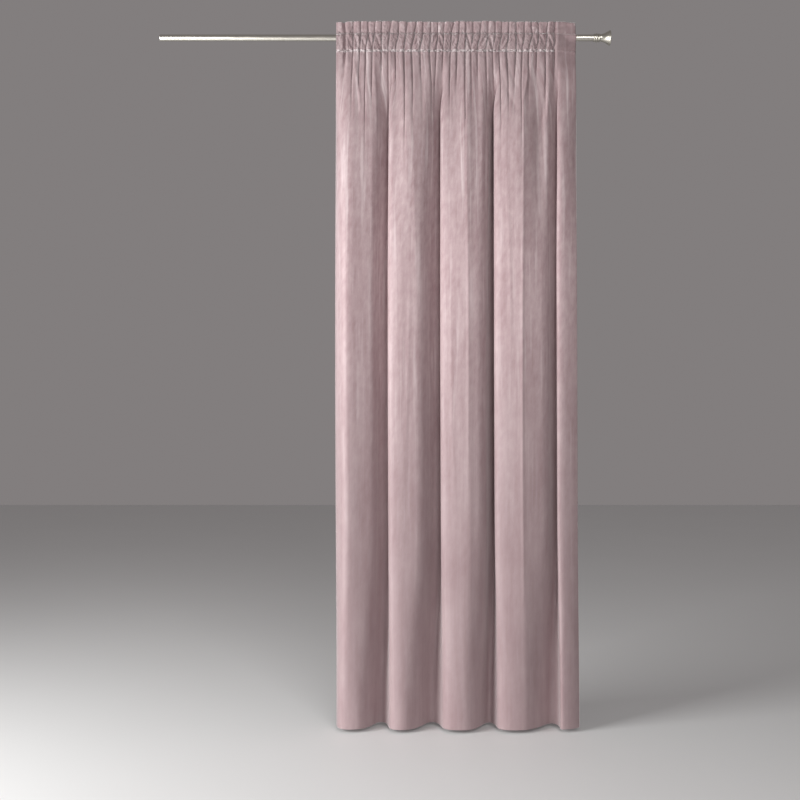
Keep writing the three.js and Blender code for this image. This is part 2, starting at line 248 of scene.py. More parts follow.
@dataclass
class ClothShape:
    """How the velvet hangs: gathers under the rows, small folds below them, five main folds, and
    rounder ones at the hem. Their depth is fitted, within limits, to the width of the cut cloth."""

    samples: int = 4200
    gather_depth: float = 0.0072
    usual_gather: float = 0.0285
    gather_sharpness: float = 7.0
    gather_tilt: float = 0.0036
    gather_lean: float = 0.12
    lean_reach: float = 0.13
    # How far down the shortest gather runs, and how much further the longest does
    runs: tuple[float, float] = (0.05, 0.20)
    # The plain ends' fall behind the last gather: its width, its share of the depth, the slope beyond
    plain_end: tuple[float, float, float] = (0.014, 1.7, 0.0042)
    # Start below the lower row and length of each change: tucking in behind the next fold, opening of
    # the small folds, deepening into the main ones, rounding off towards the hem
    changes: tuple[tuple[float, float], ...] = ((0.0, 0.25), (0.0, 0.38), (0.30, 0.60), (1.70, 0.87))
    left_bow: float = 0.005
    # How much the depth may shrink or grow in the fit
    fit_range: tuple[float, float] = (0.6, 1.15)
    fit_halvings: int = 30
    slope_reach: float = 0.003
    creases: tuple[Crease, ...] = ()
    _plans: dict[float, tuple[np.ndarray, ...]] = field(default_factory=dict)

    def edges(self, height: float) -> tuple[float, float]:
        """Left and right edges of the curtain at a height."""
        below = min(1.0, max(0.0, height / HEM_HEIGHT))
        left = LEFT_EDGE - self.left_bow * math.sin(math.pi * min(1.0, below * 1.15))
        return left, RIGHT_EDGE_AT_ROD + (RIGHT_EDGE_AT_HEM - RIGHT_EDGE_AT_ROD) * below ** 0.7

    def gathers(self, place: np.ndarray, height: float) -> np.ndarray:
        """Depth of the gathers: full crests between tight valleys, none in the plain ends.

        Args:
            place: Places in metres from the curtain's middle.
            height: In metres, from the rod's axis.

        Returns:
            The depth in metres at each place.
        """
        to_row = float(smooth((TOP_EDGE - height) / (TOP_EDGE - UPPER_ROW)))
        to_drop = float(smooth((UPPER_ROW - height) / (UPPER_ROW - LOWER_ROW)))
        below = max(0.0, LOWER_ROW - height)
        number = np.arange(len(VALLEYS))
        valleys = np.array([(v.frill + (v.row - v.frill) * to_row) * (1 - to_drop) + v.drop * to_drop
                            for v in VALLEYS]) * MM
        valleys += self.gather_lean * (uneven(number, 5) - 0.5) * min(below, self.lean_reach)
        which = np.clip(np.searchsorted(valleys, place, side="right") - 1, 0, len(valleys) - 2)
        width = valleys[which + 1] - valleys[which]
        share = np.clip((place - valleys[which]) / width, 0.0, 1.0)
        tilt = self.gather_tilt * (uneven(number, 3) - 0.55)
        deep = self.gather_depth * np.sqrt(width / self.usual_gather)
        pleats = deep * (2 * np.abs(2 * share - 1) ** self.gather_sharpness - 1)
        pleats += tilt[which] * np.sin(TURN * share)
        run = self.runs[0] + self.runs[1] * uneven(number) ** 1.5
        faded = np.exp(-((below / run) ** 1.5))
        fade = faded[which] + (faded[which + 1] - faded[which]) * share
        reach, fall, slope = self.plain_end
        plain = np.maximum(valleys[0] - place, place - valleys[-1]) / reach
        ends = self.gather_depth * (1 - fall * smooth(plain)) + slope * np.maximum(plain - 1, 0)
        return np.where(plain > 0, ends, pleats) * fade

    def folds(self, height: float) -> np.ndarray:
        """The folds' line in plan at one height, without the gathers.

        Args:
            height: In metres, from the rod's axis.

        Returns:
            An array of X, Y for points evenly spaced along the line.
        """
        left, right = self.edges(height)
        below = LOWER_ROW - height
        upper, main, hem = (np.array([getattr(point, name) for point in FOLDS]) * MM
                            for name in ("upper", "main", "hem"))
        spread = upper[0, 0] + (upper[-1, 0] - upper[0, 0]) * along_line(upper) / along_line(upper)[-1]
        row = np.stack([(np.maximum.accumulate(upper[:, 0]) + spread) / 2, np.zeros(len(upper))], axis=1)
        tucked, opened, deepened, rounded = (
            float(smooth((below - start) / reach)) for start, reach in self.changes)
        points = row + (upper - row) * (tucked, opened)
        points = points + (main - points) * deepened
        points = points + (hem - points) * rounded
        line = cut_corners(points)
        line[:, 0] = left + (line[:, 0] - line[0, 0]) * (right - left) / (line[-1, 0] - line[0, 0])
        length = along_line(line)
        even = np.linspace(0.0, length[-1], self.samples)
        return np.stack([np.interp(even, length, line[:, 0]), np.interp(even, length, line[:, 1])], axis=1)

    def plan(self, height: float) -> tuple[np.ndarray, ...]:
        """The cloth's line in plan at one height, fitted to the cloth's width.

        Args:
            height: In metres, from the rod's axis.

        Returns:
            Across (metres of flat cloth), X, Y and the line's direction in X and Y.
        """
        key = round(height, 5)
        if key in self._plans:
            return self._plans[key]
        x, y = self.folds(height).T
        y = y + self.gathers(x, height)
        low, high = self.fit_range
        for _ in range(self.fit_halvings):
            middle = (low + high) / 2
            if np.hypot(np.diff(x), np.diff(y) * middle).sum() < FLAT_WIDTH:
                low = middle
            else:
                high = middle
        across = along_line(np.stack([x, y * low], axis=1))
        even = np.linspace(0.0, FLAT_WIDTH, self.samples)
        across *= FLAT_WIDTH / across[-1]
        px, py = np.interp(even, across, x), np.interp(even, across, y * low)
        reach = round(self.slope_reach / (even[1] - even[0]))
        number = np.arange(self.samples)
        dx, dy = (np.interp(number + reach, number, line) - np.interp(number - reach, number, line)
                  for line in (px, py))
        self._plans[key] = (even, px, py, dx, dy)
        return self._plans[key]

    def row(self, across: np.ndarray, height: float, apart: float, side: float, depth: float) -> np.ndarray:
        """Points of one row of the cloth.

        Args:
            across: Places in metres of flat cloth from the left edge.
            height: The row's, in metres.
            apart: How far the layer stands from the middle plane.
            side: Offset along the cloth's normal, minus towards the face.
            depth: Share of the gathers' depth at this row.

        Returns:
            An array of X, Y, Z for each place.
        """
        even, *values = self.plan(height)
        x, y, dx, dy = (np.interp(across, even, value) for value in values)
        slope = np.arctan2(dy * depth, dx)
        push = sum((crease.push(x, height) for crease in self.creases), np.zeros_like(across))
        offset = side - push
        return np.stack([x - np.sin(slope) * offset, y * depth + apart + np.cos(slope) * offset,
                         np.full_like(across, height)], axis=1)


class Wire:
    """A number carried by a shader socket, so that expressions on it add Math nodes."""

    def __init__(self, recipe: "Recipe", socket: Any) -> None:
        """Keep the socket, and the recipe that its node is in."""
        self.recipe = recipe
        self.socket = socket

    def _math(self, operation: str, *values: Any) -> "Wire":
        """The result of a new Math node."""
        return self.recipe.node("ShaderNodeMath", {"operation": operation}, dict(enumerate(values)))

    def __add__(self, other: Any) -> "Wire":
        """Sum."""
        return self._math("ADD", self, other)

    __radd__ = __add__

    def __sub__(self, other: Any) -> "Wire":
        """Difference."""
        return self._math("SUBTRACT", self, other)

    def __rsub__(self, other: Any) -> "Wire":
        """Difference from a number on the left."""
        return self._math("SUBTRACT", other, self)

    def __mul__(self, other: Any) -> "Wire":
        """Product."""
        return self._math("MULTIPLY", self, other)

    def __truediv__(self, other: Any) -> "Wire":
        """Quotient."""
        return self._math("DIVIDE", self, other)

    def __abs__(self) -> "Wire":
        """Size without its sign."""
        return self._math("ABSOLUTE", self)


class Recipe:
    """The node tree of one finish."""

    def __init__(self, name: str) -> None:
        """Start a material of that name with its shader and output."""
        self.material = bpy.data.materials.new(name)
        self.material.use_nodes = True
        self.tree = self.material.node_tree
        self.tree.nodes.clear()
        self.shader = self.tree.nodes.new("ShaderNodeBsdfPrincipled")
        output = self.tree.nodes.new("ShaderNodeOutputMaterial")
        self.tree.links.new(self.shader.outputs["BSDF"], output.inputs["Surface"])

    def node(self, kind: str, settings: dict[str, Any], inputs: dict[Any, Any], output: Any = 0) -> Wire:
        """Add a node.

        Args:
            kind: The node's type.
            settings: Its settings, set before its sockets. "stops" fills a colour ramp.
            inputs: Values or links for its sockets, by name or number.
            output: The output wanted, by name or number.

        Returns:
            The output as a wire.
        """
        made = self.tree.nodes.new(kind)
        for key, value in settings.items():
            if key == "stops":
                ramp = made.color_ramp
                while len(ramp.elements) < len(value):
                    ramp.elements.new(1.0)
                for element, (place, colour) in zip(ramp.elements, value):
                    element.position = place
                    element.color = colour
            else:
                setattr(made, key, value)
        for key, value in inputs.items():
            self.feed(made.inputs[key], value)
        return Wire(self, made.outputs[output])

    def feed(self, socket: Any, value: Any) -> None:
        """Link a wire to a socket, or set the socket's own value."""
        if isinstance(value, Wire):
            self.tree.links.new(value.socket, socket)
        else:
            socket.default_value = value

    def shade(self, **values: Any) -> None:
        """Feed the shader's sockets, named with underscores for spaces."""
        for key, value in values.items():
            self.feed(self.shader.inputs[key.replace("_", " ")], value)

    def place(self, frame: str) -> Wire:
        """The place in metres on the flat cloth, for UV, or in the object's frame, for Object."""
        return self.node("ShaderNodeTexCoord", {}, {}, frame)

    def stretched(self, place: Wire, scale: tuple[float, float, float], turn: float = 0.0) -> Wire:
        """Turn a place in its plane and scale it by axes, for a pattern that runs longer one way."""
        turned = self.node("ShaderNodeMapping", {}, {"Vector": place, "Rotation": (0.0, 0.0, turn)})
        return self.node("ShaderNodeMapping", {}, {"Vector": turned, "Scale": scale})

    def part(self, place: Wire, axis: str) -> Wire:
        """One of a place's three numbers, by the name of its axis."""
        return self.node("ShaderNodeSeparateXYZ", {}, {"Vector": place}, axis)

    def noise(self, place: Wire, scale: float, detail: float = 3.0, rough: float = 0.55) -> Wire:
        """Cloudy noise around a half."""
        return self.node("ShaderNodeTexNoise", {}, {
            "Vector": place, "Scale": scale, "Detail": detail, "Roughness": rough}, "Fac")

    def ramp(self, value: Wire, low: float, high: float) -> Wire:
        """Stretch a number so that low gives 0 and high gives 1, held at both."""
        return self.node("ShaderNodeMapRange", {}, {"Value": value, "From Min": low, "From Max": high})

    def blend(self, share: Any, first: Any, second: Any, way: str = "MIX") -> Wire:
        """Mix two colours by a share, or combine them in another of the mixer's ways."""
        return self.node("ShaderNodeMix", {"data_type": "RGBA", "blend_type": way},
                         {0: share, 6: first, 7: second}, 2)

    def bump(self, height: Wire, distance: float, strength: float, onto: Any = None) -> Wire:
        """A bump of that height in metres, on top of another one if given."""
        inputs: dict[Any, Any] = {"Height": height, "Distance": distance, "Strength": strength}
        if onto is not None:
            inputs["Normal"] = onto
        return self.node("ShaderNodeBump", {}, inputs, "Normal")


Colour = tuple[float, float, float, float]


@dataclass(frozen=True)
class VelvetFace:
    """Short-pile velvet: dusky rose with a pale sheen, brushed and crushed in places; painted highlights
    along the gathering rows and in streaks, and painted shade up the cloth and at the plain right end.
    """

    name: str = "velvet_face"
    deep: Colour = (0.319, 0.207, 0.220, 1)
    body: Colour = (0.431, 0.311, 0.324, 1)
    brushed: Colour = (0.560, 0.442, 0.454, 1)
    # Painted highlight colour: the pale whitish sheen of lit puckers, crests and streaks
    painted_highlight: Colour = (0.860, 0.780, 0.790, 1)
    sheen_tint: Colour = (1.0, 0.98, 0.98, 1)
    # Painted light and shade up the cloth: how bright the colour is kept at places, in metres from the hem;
    # brightest at mid-height, darker towards the hem and round the heading
    painted_shade_by_height: tuple[tuple[float, float], ...] = (
        (0.0, 0.88), (0.25, 0.83), (0.55, 0.81), (0.85, 0.82), (1.15, 0.87), (1.40, 0.93), (1.75, 1.0),
        (2.00, 0.95), (2.25, 0.88), (2.40, 0.83), (2.50, 0.74), (2.57, 0.68), (2.61, 0.62), (2.635, 0.64),
        (2.655, 0.90), (2.672, 0.74), (2.70, 0.80))

    def make(self) -> bpy.types.Material:
        """Build the material."""
        mix = Recipe(self.name)
        place = mix.place("UV")
        up = mix.part(place, "Y")
        handled = mix.ramp(up, 0.5, 2.1)
        streaks = mix.noise(mix.stretched(place, (48.0, 2.2, 1.0)), 1.0, 3.0, 0.6)
        clouds = mix.noise(mix.stretched(place, (15.0, 4.0, 1.0)), 1.0, 3.0, 0.5)
        crush = mix.noise(mix.stretched(place, (56.0, 22.0, 1.0), 0.2), 1.0, 4.0, 0.62)
        nap = ((streaks - 0.5) * (0.28 + handled * 0.14) + (clouds - 0.5) * 0.38
               + (crush - 0.5) * (0.16 + handled * 0.46))
        nap = mix.ramp(nap, -0.16, 0.18)
        colour = mix.blend(0.35, mix.blend(nap, self.deep, self.brushed), self.body)
        # Painted shade: the plain right end of the heading darkened towards the deep colour, where it turns
        # away from the light
        plain_end = mix.ramp(mix.part(place, "X"), 1.285, 1.305) * mix.ramp(up, 2.30, 2.60)
        colour = mix.blend(plain_end * 0.35, colour, self.deep)
        # Painted light and shade by height: the colour is multiplied by a grey ramp up the cloth
        reach = self.painted_shade_by_height[-1][0]
        stops = tuple((height / reach, (bright, bright, bright, 1)) for height, bright in self.painted_shade_by_height)
        colour = mix.blend(1.0, colour, mix.node("ShaderNodeValToRGB", {"stops": stops}, {"Fac": up / reach}),
                           "MULTIPLY")
        # Painted sheen: thin pale vertical streaks towards the painted highlight colour, more in the upper
        # cloth
        painted_sheen_streaks = mix.noise(mix.stretched(place, (66.0, 2.6, 1.0)), 1.0, 2.0, 0.5)
        colour = mix.blend(mix.ramp(painted_sheen_streaks, 0.56, 0.74) * handled * 0.3, colour, self.painted_highlight)
        # Painted highlights: pale spots at the lower gathering row's puckers, and pale patches in the frill
        # above the upper row
        crumple = mix.node("ShaderNodeAttribute", {"attribute_name": "crumple"}, {}, "Fac")
        spots = mix.noise(mix.stretched(place, (62.0, 90.0, 1.0)), 1.0, 2.0, 0.6)
        painted_highlight = mix.ramp(spots, 0.43, 0.55) * mix.ramp(crumple, 0.72, 1.1) * mix.ramp(up, 2.64, 2.62)
        painted_highlight_patches = mix.noise(mix.stretched(place, (38.0, 26.0, 1.0), 0.2), 1.0, 2.0, 0.5)
        painted_highlight = painted_highlight + mix.ramp(painted_highlight_patches, 0.60, 0.70) * mix.ramp(up, 2.655, 2.67) * 0.55
        colour = mix.blend(painted_highlight * 0.62, colour, self.painted_highlight)
        leaning = mix.noise(mix.stretched(place, (66.0, 30.0, 1.0), 0.50), 1.0, 2.0, 0.5)
        crossing = mix.noise(mix.stretched(place, (58.0, 27.0, 1.0), -0.55), 1.0, 2.0, 0.5)
        creases = (abs(leaning - 0.5) + abs(crossing - 0.5)) * crumple
        pile = mix.noise(place, 1100.0, 2.0, 0.5)
        brushwork = mix.noise(mix.stretched(place, (85.0, 40.0, 1.0)), 1.0, 4.0, 0.62)
        normal = mix.bump(creases, 0.018, 1.0)
        normal = mix.bump(brushwork, 0.0016, 0.35, normal)
        normal = mix.bump(pile, 0.0004, 0.35, normal)
        mix.shade(Base_Color=colour, Roughness=0.64 - nap * 0.1, Normal=normal, Specular_IOR_Level=0.5,
                  Sheen_Weight=1.0, Sheen_Roughness=0.36, Sheen_Tint=self.sheen_tint)
        return mix.material


@dataclass(frozen=True)
class VelvetReverse:
    """The woven back of the velvet: matt, a little greyer, with fine crossing threads."""

    dark: Colour = (0.230, 0.160, 0.168, 1)
    light: Colour = (0.330, 0.240, 0.250, 1)
    threads: float = 900.0

    def make(self) -> bpy.types.Material:
        """Build the material."""
        mix = Recipe("velvet_reverse")
        place = mix.place("UV")
        warp, weft = (mix.node("ShaderNodeTexWave", {"bands_direction": axis}, {
            "Vector": place, "Scale": self.threads, "Distortion": 1.2, "Detail": 2.0}, "Fac")
            for axis in "XY")
        clouds = mix.noise(mix.stretched(place, (10.0, 3.0, 1.0)), 1.0)
        colour = mix.blend(mix.ramp(clouds, 0.35, 0.65), self.dark, self.light)
        mix.shade(Base_Color=colour, Roughness=0.9, Normal=mix.bump(warp * weft, 0.0002, 0.5),
                  Specular_IOR_Level=0.15, Sheen_Weight=0.2, Sheen_Roughness=0.5)
        return mix.material


@dataclass(frozen=True)
class Thread:
    """Polyester sewing thread of the velvet's colour."""

    colour: Colour = (0.52, 0.40, 0.41, 1)
    shaded: Colour = (0.44, 0.33, 0.34, 1)

    def make(self) -> bpy.types.Material:
        """Build the material."""
        mix = Recipe("sewing_thread")
        twist = mix.noise(mix.place("Object"), 1800.0, 1.0)
        mix.shade(Base_Color=mix.blend(twist * 0.5, self.colour, self.shaded), Roughness=0.55,
                  Normal=mix.bump(twist, 0.0002, 0.4), Sheen_Weight=0.8)
        return mix.material


class Grain(Enum):
    """Which way a metal piece was brushed."""

    ROUND = (900.0, 14.0, 14.0)
    LONG = (7.0, 700.0, 700.0)


@dataclass(frozen=True)
class SatinNickel:
    """Satin nickel plate with fine brushing and faint handling marks."""

    name: str
    grain: Grain
    colour: Colour = (0.640, 0.618, 0.560, 1)
    worn: Colour = (0.520, 0.495, 0.430, 1)

    def make(self) -> bpy.types.Material:
        """Build the material."""
        mix = Recipe(self.name)
        place = mix.place("Object")
        brushing = mix.noise(mix.stretched(place, self.grain.value), 1.0, 3.0, 0.6)
        marks = mix.noise(place, 22.0, 4.0, 0.6)
        tone = mix.ramp(marks, 0.45, 0.75)
        mix.shade(Base_Color=mix.blend(tone * 0.5, self.colour, self.worn), Metallic=1.0,
                  Roughness=0.24 + brushing * 0.10 + tone * 0.08,
                  Normal=mix.bump(brushing, 0.0002, 0.12))
        return mix.material


@dataclass(frozen=True)
class PaleFloor:
    """A plain matt floor."""

    colour: Colour = (0.78, 0.79, 0.79, 1)
    darkest: float = 0.97

    def make(self) -> bpy.types.Material:
        """Build the material."""
        mix = Recipe("pale_floor")
        cloud = mix.noise(mix.place("Object"), 1.2, 2.0)
        darker = tuple(part * self.darkest for part in self.colour[:3]) + (1,)
        mix.shade(Base_Color=mix.blend(cloud, self.colour, darker), Roughness=0.55)
        return mix.material


class Finishes:
    """Every finish, made once."""

    def __init__(self) -> None:
        """Make the materials."""
        self.velvet = VelvetFace().make()
        self.reverse = VelvetReverse().make()
        self.velvet_back = VelvetFace("velvet_turnings").make()
        self.thread = Thread().make()
        self.rod = SatinNickel("rod_nickel", Grain.LONG).make()
        self.finial = SatinNickel("finial_nickel", Grain.ROUND, (0.60, 0.58, 0.515, 1)).make()
        self.floor = PaleFloor().make()


def new_piece(name: str, build: bmesh.types.BMesh, *materials: bpy.types.Material) -> bpy.types.Object:
    """Turn a bmesh into a smooth-shaded object at the origin.

    Args:
        name: The object's name.
        build: The mesh, which is freed.
        materials: Its finishes, by slot.

    Returns:
        The object, linked to the scene.
    """
    mesh = bpy.data.meshes.new(name)
    build.to_mesh(mesh)
    build.free()
    for material in materials:
        mesh.materials.append(material)
    mesh.shade_smooth()
    made = bpy.data.objects.new(name, mesh)
    bpy.context.scene.collection.objects.link(made)
    return made


def cloth_grid(rows: Sequence[np.ndarray], across: np.ndarray, along: Sequence[float],
               crumple: np.ndarray | None = None) -> bmesh.types.BMesh:
    """Shape a grid into cloth.

    Args:
        rows: For each row from the first to the last, its points.
        across: The places of the columns on the flat cloth, in metres.
        along: The places of the rows on the flat cloth, in metres.
        crumple: How crumpled each point of each row is, from 0 to 1, or nothing for smooth cloth.

    Returns:
        The bmesh with a UV map of flat cloth in metres.
    """
    columns, count = len(across), len(rows)
    build = bmesh.new()
    bmesh.ops.create_grid(build, x_segments=columns - 1, y_segments=count - 1, size=0.5)
    flat = build.loops.layers.uv.new("flat_cloth")
    crumpled = build.verts.layers.float.new("crumple")
    places: dict[bmesh.types.BMVert, tuple[float, float]] = {}
    for vertex in build.verts:
        i = round((vertex.co.x + 0.5) * (columns - 1))
        j = round((vertex.co.y + 0.5) * (count - 1))
        vertex.co = Vector(rows[j][i])
        vertex[crumpled] = 0.0 if crumple is None else float(crumple[j, i])
        places[vertex] = (float(across[i]), float(along[j]))
    for face in build.faces:
        for loop in face.loops:
            loop[flat].uv = places[loop.vert]
    return build


@dataclass(frozen=True)
class SectionKnot:
    """A knot of the heading in section, in millimetres: height, distance from the middle plane, the
    side of the cloth's layer, and the share of the gathers' depth."""

    height: float
    apart: float
    side: float
    depth: float


@dataclass
class Curtain:
    """The velvet panel with its heading, hems and stitching."""

    shape: ClothShape
    finishes: Finishes
    thickness: float = 0.0014
    columns: int = 405
    drop_rows: int = 60
    bottom_hem: float = 0.090
    side_hem: float = 0.028
    # The hems' turned-in cloth: its thickness, and how far behind the cloth it and its stitches are
    hem_thickness: float = 0.0011
    hem_side: float = 0.9 * MM
    stitch_side: float = 1.75 * MM
    stitch_pitch: float = 0.0042
    stitch_share: float = 0.68
    thread_radius: float = 0.0005
    # Where across the flat cloth the gathers end, and over what width
    plain_from: float = 1.290
    plain_fade: float = 0.02
    back_reach: float = 1.05
    # Each gathering row, how high its puckers stand, and how far above and below it they reach
    puckers: tuple[tuple[float, float, float], ...] = (
        (LOWER_ROW, 0.0017, 0.0038), (UPPER_ROW, 0.0011, 0.0036))
    # How far above and below a row the cloth is crumpled, and how far the drop is drawn in
    knot_reach: float = 0.004
    crumple_run: float = 0.030
    draw_run: float = 0.005
    drawn_share: float = 0.44
    # A slanted valley's half width and depth, the ridge's height beside it and place in half widths
    slant: tuple[float, float, float, float] = (0.0040, 0.0052, 0.0020, 2.1)
    # The plain right end of the channel falls back: how far, from where, and over what width
    plain_fall: tuple[float, float, float] = (0.006, 0.371, 0.085)
    # The height from which the frill waves, and over what height that grows
    frill: tuple[float, float] = (0.026, 0.034)
    heading: tuple[SectionKnot, ...] = tuple(SectionKnot(*knot) for knot in (
        (-51.0, -1.6, -0.8, 0.70), (-48.5, -2.8, -0.7, 0.78), (-43.5, -6.4, -0.6, 0.84),
        (-36.0, -10.5, -0.4, 0.86), (-26.0, -14.6, 0.0, 0.84), (-15.0, -17.4, 0.0, 0.80),
        (-5.0, -18.4, 0.0, 0.78), (3.0, -17.0, 0.0, 0.78), (8.5, -12.6, -0.3, 0.77),
        (11.8, -7.6, -0.5, 0.75), (13.9, -3.6, -0.7, 0.72), (15.0, -2.0, -0.8, 0.70),
        (16.6, -2.4, -0.8, 0.74), (20.0, -3.6, -0.8, 0.78), (27.0, -4.2, -0.8, 0.82),
        (36.0, -3.4, -0.8, 0.80), (47.0, -1.6, -0.8, 0.76), (56.0, -0.4, -0.8, 0.70),
    ))

    def drop_heights(self) -> np.ndarray:
        """Heights of the drop's rows from the hem up, closer together at the hem and under the heading."""
        share = np.linspace(1.0, 0.0, self.drop_rows, endpoint=False)
        drop = np.interp(share, (0.0, 0.45, 0.80, 1.0), (LOWER_ROW, -0.33, -2.05, HEM_HEIGHT))
        return np.concatenate([HEM_HEIGHT + np.array([0.0, 0.0015, 0.0050]), drop[1:],
                               LOWER_ROW - np.array([0.0075, 0.0050, 0.0022])])

    def behind(self, knot: SectionKnot) -> SectionKnot:
        """The same row in the turned-over layer at the back."""
        return SectionKnot(knot.height, -knot.apart * self.back_reach, -knot.side, knot.depth)

    def heading_rows(self) -> list[SectionKnot]:
        """The heading's rows from the lower row up the front, over the top edge and down the back."""
        front = []
        for a, b in zip(self.heading[:-1], self.heading[1:]):
            for share in (0.0, 0.5):
                front.append(SectionKnot(*(getattr(a, key) * (1 - share) + getattr(b, key) * share
                                           for key in ("height", "apart", "side", "depth"))))
        front.append(self.heading[-1])
        top = TOP_EDGE / MM
        front.append(SectionKnot(top - 1.2, 0.0, -0.62, 0.8))
        back = [self.behind(knot) for knot in reversed(self.heading)]
        end = [SectionKnot(LOWER_ROW / MM - 5, 0.0, 0.8, 0.97), SectionKnot(TURNED_END / MM, 0.0, 0.9, 1.0)]
        return front + [SectionKnot(top, 0.0, 0.0, 0.8)] + back + end

    def pucker(self, across: np.ndarray, height: float) -> np.ndarray:
        """Small crumples that the gathering threads draw up beside the two rows."""
        rise = sum(high * bell((height - row) / reach) for row, high, reach in self.puckers)
        bumps = ripple(across, (1.0, 0.0191, height * 30), (0.9, 0.0127, 0.3 + height * 21),
                       (0.6, 0.0083, 0.6), (0.5, 0.0479, 0.1))
        gathered = 1.0 - 0.85 * smooth((across - self.plain_from) / self.plain_fade)
        return rise * bumps * gathered

    def slants(self, points: np.ndarray, height: float) -> np.ndarray:
        """Depth of the slanted valleys that cross the channel's front from one gather to the next."""
        share = (UPPER_ROW - height) / (UPPER_ROW - LOWER_ROW)
        depth = np.zeros(len(points))
        if not 0.0 < share < 1.0:
            return depth
        fade = math.sin(math.pi * share) ** 0.5
        fall, start, width = self.plain_fall
        depth += fall * fade * smooth((points[:, 0] - start) / width)
        half, valley, ridge, beside = self.slant
        for above, under in SLANTED_VALLEYS:
            strength = fade * (0.55 + 0.9 * uneven(above))
            line = (VALLEYS[above].row + (VALLEYS[under].drop - VALLEYS[above].row) * share) * MM
            off = (points[:, 0] - line) / half
            depth += strength * (valley * bell(off) - ridge * bell(off - beside))
        return depth

    def clear_rod(self, points: np.ndarray, out: float) -> np.ndarray:
        """Keep a layer of the channel on its side of the rod: out is -1 for the front, 1 for the back."""
        reach = ROD_RADIUS + SEAT_GAP + self.thickness * 0.5
        y, z = points[:, 1], points[:, 2]
        surface = np.sqrt(np.maximum(reach ** 2 - z ** 2, 0.0))
        points[:, 1] = np.where(np.abs(z) < reach, out * np.maximum(out * y, surface), y)
        return points

    def heading_points(self, across: np.ndarray, knot: SectionKnot, lift: float = 0.0) -> np.ndarray:
        """Points of one of the heading's rows.

        Args:
            across: Places in metres of flat cloth from the left edge.
            knot: The row.
            lift: How far the points stand off the cloth's outer side, for what is sewn on it.

        Returns:
            An array of X, Y, Z for each place.
        """
        height = knot.height * MM
        out = math.copysign(1.0, knot.apart or knot.side or -1.0)
        points = self.shape.row(across, height, knot.apart * MM, knot.side * MM + lift * out, knot.depth)
        points[:, 1] -= self.pucker(across, height)
        if knot.apart < 0:
            points[:, 1] += self.slants(points, height)
        start, reach = self.frill
        if height > start:
            share = float(smooth((height - start) / reach))
            x = points[:, 0]
            waved = ripple(x, (0.0013, 0.38, 0.0), (0.0008, 0.127, 0.2), (0.0005, 0.051, 0.1))
            points[:, 2] += share * (waved - 0.06 * points[:, 1])
            points[:, 1] += share * ripple(x, (0.0012, 0.083, 0.4), (0.0008, 0.034, 0.7))
        return self.clear_rod(points, out)

    def panel(self) -> bpy.types.Object:
        """The whole cloth: drop, rod channel, frill and turned-over top, as one sheet."""
        across = np.linspace(0.0, FLAT_WIDTH, self.columns)
        lowest = self.heading[0]
        rows, along, crumple = [], [], []
        for height in self.drop_heights():
            drawn_in = math.exp((height - LOWER_ROW) / self.draw_run)
            rows.append(self.shape.row(across, height, lowest.apart * MM * drawn_in, lowest.side * MM,
                                       1.0 - self.drawn_share * drawn_in))
            rows[-1][:, 1] -= self.pucker(across, height)
            along.append(height - HEM_HEIGHT)
            crumple.append(0.5 * math.exp((height - LOWER_ROW) / self.crumple_run)
                           + 1.2 * bell((height - LOWER_ROW) / self.knot_reach))
        before = (LOWER_ROW / MM - 10, 0.0)
        for knot in self.heading_rows():
            rows.append(self.heading_points(across, knot))
            along.append(along[-1] + math.hypot(knot.height - before[0], knot.apart - before[1]) * MM + 1e-4)
            before = (knot.height, knot.apart)
            knotted = sum(bell((knot.height * MM - row) / self.knot_reach) for row in (LOWER_ROW, UPPER_ROW))
            crumple.append(0.55 + 1.1 * knotted - 0.25 * float(smooth((knot.height - 18) / 8)))
        gathered = 1.0 - 0.9 * smooth((across - self.plain_from) / self.plain_fade)
        panel = new_piece("velvet_panel", cloth_grid(rows, across, along, np.outer(crumple, gathered)),
                          self.finishes.velvet, self.finishes.reverse)
        return self.thicken(panel, self.thickness, 1)

    @staticmethod
    def thicken(piece: bpy.types.Object, thickness: float, back: int) -> bpy.types.Object:
        """Give a sheet its thickness.

        Args:
            piece: The sheet.
            thickness: In metres.
            back: How many slots on the back's finish is.

        Returns:
            The piece.
        """
        thick = piece.modifiers.new("thickness", "SOLIDIFY")
        thick.thickness = thickness
        thick.offset = 0.0
        thick.material_offset = back
        return piece

    def turning(self, name: str, across: np.ndarray, heights: np.ndarray) -> bpy.types.Object:
        """Turned-in cloth of a hem on the back, over places across the cloth and heights."""
        rows = [self.shape.row(across, height, 0.0, self.hem_side, 1.0) for height in heights]
        hem = new_piece(name, cloth_grid(rows, across, heights - HEM_HEIGHT), self.finishes.velvet_back)
        return self.thicken(hem, self.hem_thickness, 0)

    def turnings(self) -> list[bpy.types.Object]:
        """The hems' turned-in cloth on the back: along the bottom, and above that along both sides."""
        low = HEM_HEIGHT + np.linspace(0.001, self.bottom_hem, 8)
        high = self.drop_heights()
        high = high[high > low[-1]]
        return [self.turning(name, np.linspace(*reach), heights) for name, reach, heights in (
            ("bottom_hem", (0.004, FLAT_WIDTH - 0.004, self.columns), low),
            ("left_hem", (0.002, self.side_hem, 9), high),
            ("right_hem", (FLAT_WIDTH - self.side_hem, FLAT_WIDTH - 0.002, 9), high))]

